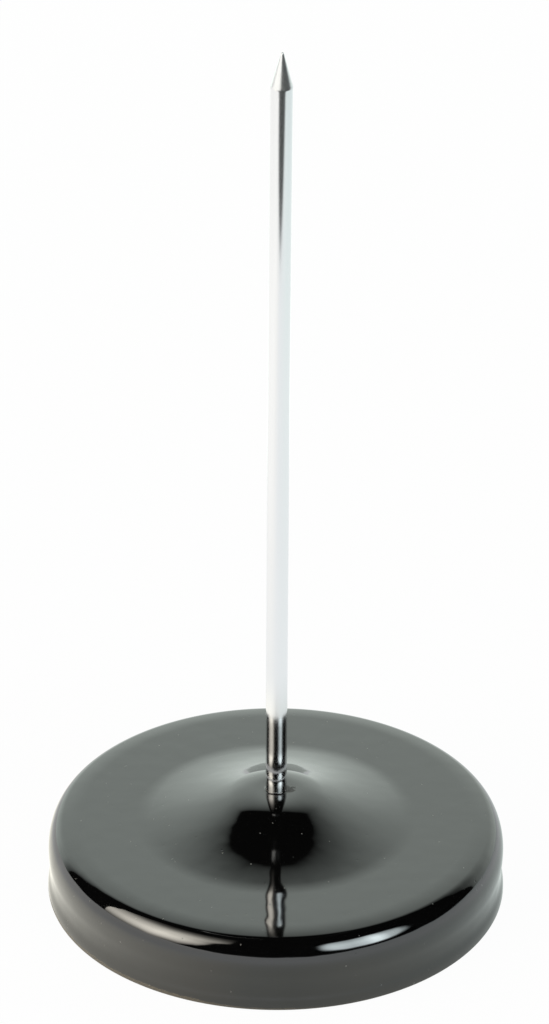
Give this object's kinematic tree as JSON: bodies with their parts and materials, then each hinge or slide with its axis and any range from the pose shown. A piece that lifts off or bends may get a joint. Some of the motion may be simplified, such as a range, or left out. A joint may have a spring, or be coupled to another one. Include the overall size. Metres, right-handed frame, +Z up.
{
  "type": "paper spike",
  "caption": "Upright pointed steel rod on a heavy round enamelled base, for holding loose slips of paper pushed onto it.",
  "frame": {"origin": "centre of the underside of the felt pad, the face that the part rests on", "axes": "+Z up along the rod's axis, towards its point; X and Y lie in the resting plane, and the part is round about Z"},
  "size_m": [0.0766, 0.0766, 0.1512],
  "materials": {
    "enamel": "gloss black enamel over cast iron, slightly wavy like orange peel, with a few dust specks and bare tan primer along the bottom edge",
    "plating": "bright plated steel wire with a ground point and a trace of rust at its foot",
    "fastener": "zinc-plated steel",
    "felt": "pressed charcoal felt"
  },
  "bodies": {
    "root": {"base_weight": "enamel", "spike_rod": "plating", "clamp_washer": "fastener", "clamp_nut": "fastener", "felt_pad": "felt"}
  },
  "joints": []
}
